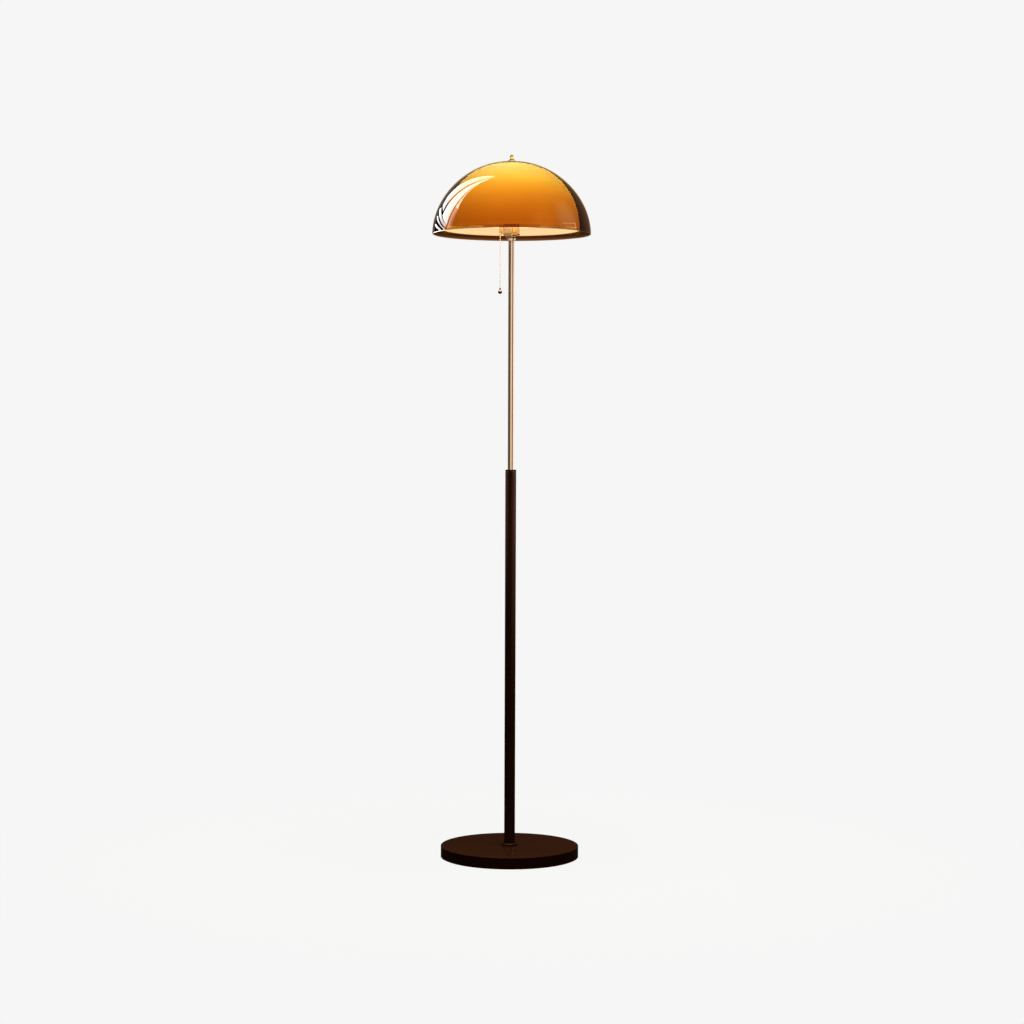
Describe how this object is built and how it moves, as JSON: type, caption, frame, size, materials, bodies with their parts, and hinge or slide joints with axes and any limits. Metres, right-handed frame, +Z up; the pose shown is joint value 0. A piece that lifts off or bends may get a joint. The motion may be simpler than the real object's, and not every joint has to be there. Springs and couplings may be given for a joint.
{
  "type": "mushroom floor lamp",
  "caption": "Floor lamp with a smoked dome over an opal dome on a telescopic pole and disc base, lit, with a bead pull chain.",
  "frame": {"origin": "centre of the underside of the base, on the floor", "axes": "+Z up along the pole, +Y towards the back, where the cord inlet is, -X towards the side where the pull chain hangs"},
  "size_m": [0.3499, 0.35, 1.555],
  "materials": {
    "rubber": "matt",
    "cast_iron": "rough cast",
    "brown_paint": "satin",
    "ferrule_bronze": "gloss",
    "plated_steel": "zinc plated",
    "polished_brass": "polished",
    "brass": "satin",
    "nylon": "natural",
    "cable_sheath": "matt",
    "phenolic": "moulded",
    "cap_aluminium": "satin",
    "bulb_opal": "frosted, lit",
    "opal_acrylic": "opal, lit from inside",
    "smoked_acrylic": "clear smoked, polished",
    "clear_plastic": "translucent"
  },
  "bodies": {
    "base": {"foot_pad": "rubber", "base_weight": "cast_iron", "base_cover": "brown_paint", "cord_grommet": "rubber", "cord_clamp": "plated_steel", "clamp_screws": "plated_steel", "base_washer": "plated_steel", "base_nut": "plated_steel", "base_nipple": "plated_steel", "base_collar": "brown_paint", "base_lead": "cable_sheath", "tube_plug": "plated_steel", "lower_tube": "brown_paint", "tube_ferrule": "ferrule_bronze", "friction_bush": "nylon", "slack_lead": "cable_sheath"},
    "head": {"guide_bush": "nylon", "upper_tube": "polished_brass", "upper_lead": "cable_sheath", "neck_nut": "polished_brass", "upper_nipple": "brass", "cup_nut": "brass", "harp_saddle": "brass", "harp_ferrules": "brass", "harp": "brass", "harp_stud": "brass", "socket_cup": "polished_brass", "switch_body": "phenolic", "socket_insulator": "phenolic", "screw_shell": "brass", "centre_contact": "brass", "chain_bell": "brass", "bulb_cap": "cap_aluminium", "bulb_glass": "bulb_opal", "shade_seat": "brass", "inner_diffuser": "opal_acrylic", "dome_spacer": "clear_plastic", "outer_dome": "smoked_acrylic", "finial_washer": "clear_plastic", "finial": "polished_brass"},
    "switch_pull": {"pull_link": "brass"},
    "pull_chain": {"pull_chain": "brass", "chain_ball": "polished_brass"}
  },
  "joints": [
    {"name": "pole_slide", "type": "slide", "parent": "base", "child": "head", "axis": [0, 0, 1], "range_m": [-0.4, 0], "deforming": ["slack_lead"]},
    {"name": "switch_slide", "type": "slide", "parent": "head", "child": "switch_pull", "axis": [0, 0, -1], "range_m": [0, 0.008], "stiffness_N_per_m": 250, "springref_m": -0.012},
    {"name": "chain_swing", "type": "hinge", "parent": "switch_pull", "child": "pull_chain", "pos_m": [-0.025, 0, 1.3793], "axis": [1, 0, 0], "range_deg": [-35, 35]}
  ]
}
